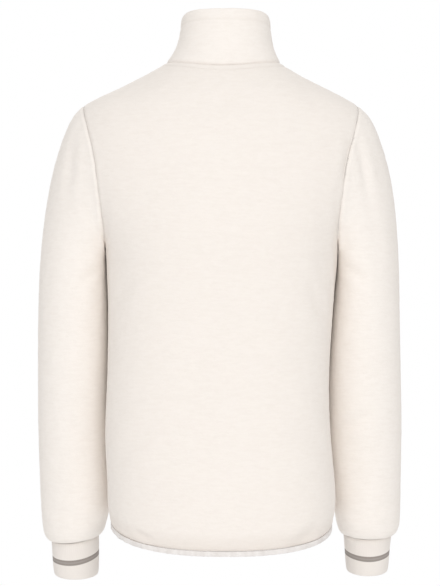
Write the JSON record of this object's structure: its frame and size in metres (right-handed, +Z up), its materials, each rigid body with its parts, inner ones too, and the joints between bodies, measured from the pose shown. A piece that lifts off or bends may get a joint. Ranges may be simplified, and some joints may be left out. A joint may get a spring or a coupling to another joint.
{
  "type": "fleece jacket",
  "caption": "Filled-out high-pile fleece jacket with a stand collar, set-in sleeves, striped rib cuffs, a full-length front zip and an elastic-bound dropped hem.",
  "frame": {"origin": "midway between the two points where the shoulder seams meet the neck, where the wearer's shoulders hold the jacket up", "axes": "+Z up, -Y out of the zipped front, +Y out of the back, +X to the wearer's left"},
  "size_m": [0.5175, 0.2755, 0.8],
  "materials": {
    "fleece": "matte pile",
    "rib_knit": "matte knit",
    "elastic_binding": "soft satin",
    "zip_tape": "woven tape",
    "zip_metal": "nickel plate"
  },
  "bodies": {
    "jacket": {"back": "fleece", "front_left": "fleece", "front_right": "fleece", "sleeve_left": "fleece", "sleeve_right": "fleece", "collar": "fleece", "cuff_left": "rib_knit", "cuff_right": "rib_knit", "hem_binding": "elastic_binding", "zip_tape_left": "zip_tape", "zip_tape_right": "zip_tape", "zip_teeth_left": "zip_metal", "zip_teeth_right": "zip_metal", "zip_box": "zip_metal", "zip_slider": "zip_metal"},
    "pull_tab": {"zip_pull": "zip_metal"}
  },
  "joints": [
    {"name": "pull_tab_hinge", "type": "hinge", "parent": "jacket", "child": "pull_tab", "pos_m": [-0.00581, -0.07365, 0.01123], "axis": [-1, 0, 0], "range_deg": [0, 165]}
  ]
}
